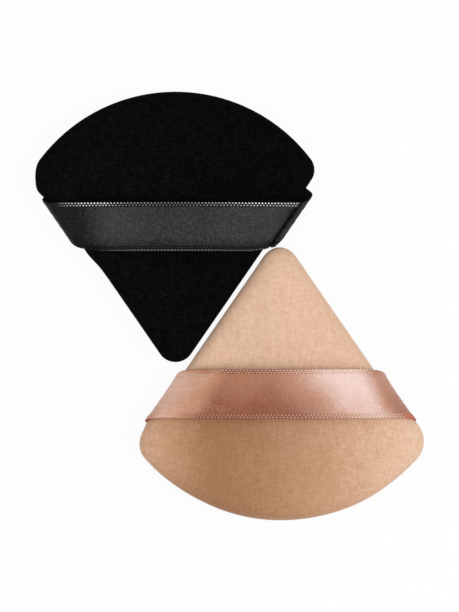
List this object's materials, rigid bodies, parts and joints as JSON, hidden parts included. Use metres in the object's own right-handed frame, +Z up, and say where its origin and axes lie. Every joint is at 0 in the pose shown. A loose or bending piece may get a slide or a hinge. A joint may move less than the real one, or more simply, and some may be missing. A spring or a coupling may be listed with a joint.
{
  "type": "powder puff",
  "caption": "Fan-shaped velour powder puffs, black and nude, with foam cores and satin finger ribbons sewn into the side seams.",
  "frame": {"origin": "on the surface that the puffs lie on, under the middle of the set's bounding box", "axes": "+Z up through the ribbons, +Y from the black puff's tip towards its wide side, +X to the right as the ribbons are looked down on"},
  "size_m": [0.096, 0.1072, 0.0172],
  "materials": {
    "black_velour": "matte",
    "nude_velour": "matte",
    "black_satin": "satin",
    "nude_satin": "satin",
    "black_thread": "satin",
    "nude_thread": "satin",
    "foam": "matte"
  },
  "bodies": {
    "root": {"black_front_cover": "black_velour", "black_back_cover": "black_velour", "black_foam_core": "foam", "black_ribbon_strap": "black_satin", "black_needle_thread": "black_thread", "black_bobbin_thread": "black_thread", "black_closing_thread": "black_thread", "nude_front_cover": "nude_velour", "nude_back_cover": "nude_velour", "nude_foam_core": "foam", "nude_ribbon_strap": "nude_satin", "nude_needle_thread": "nude_thread", "nude_bobbin_thread": "nude_thread", "nude_closing_thread": "nude_thread"}
  },
  "joints": []
}
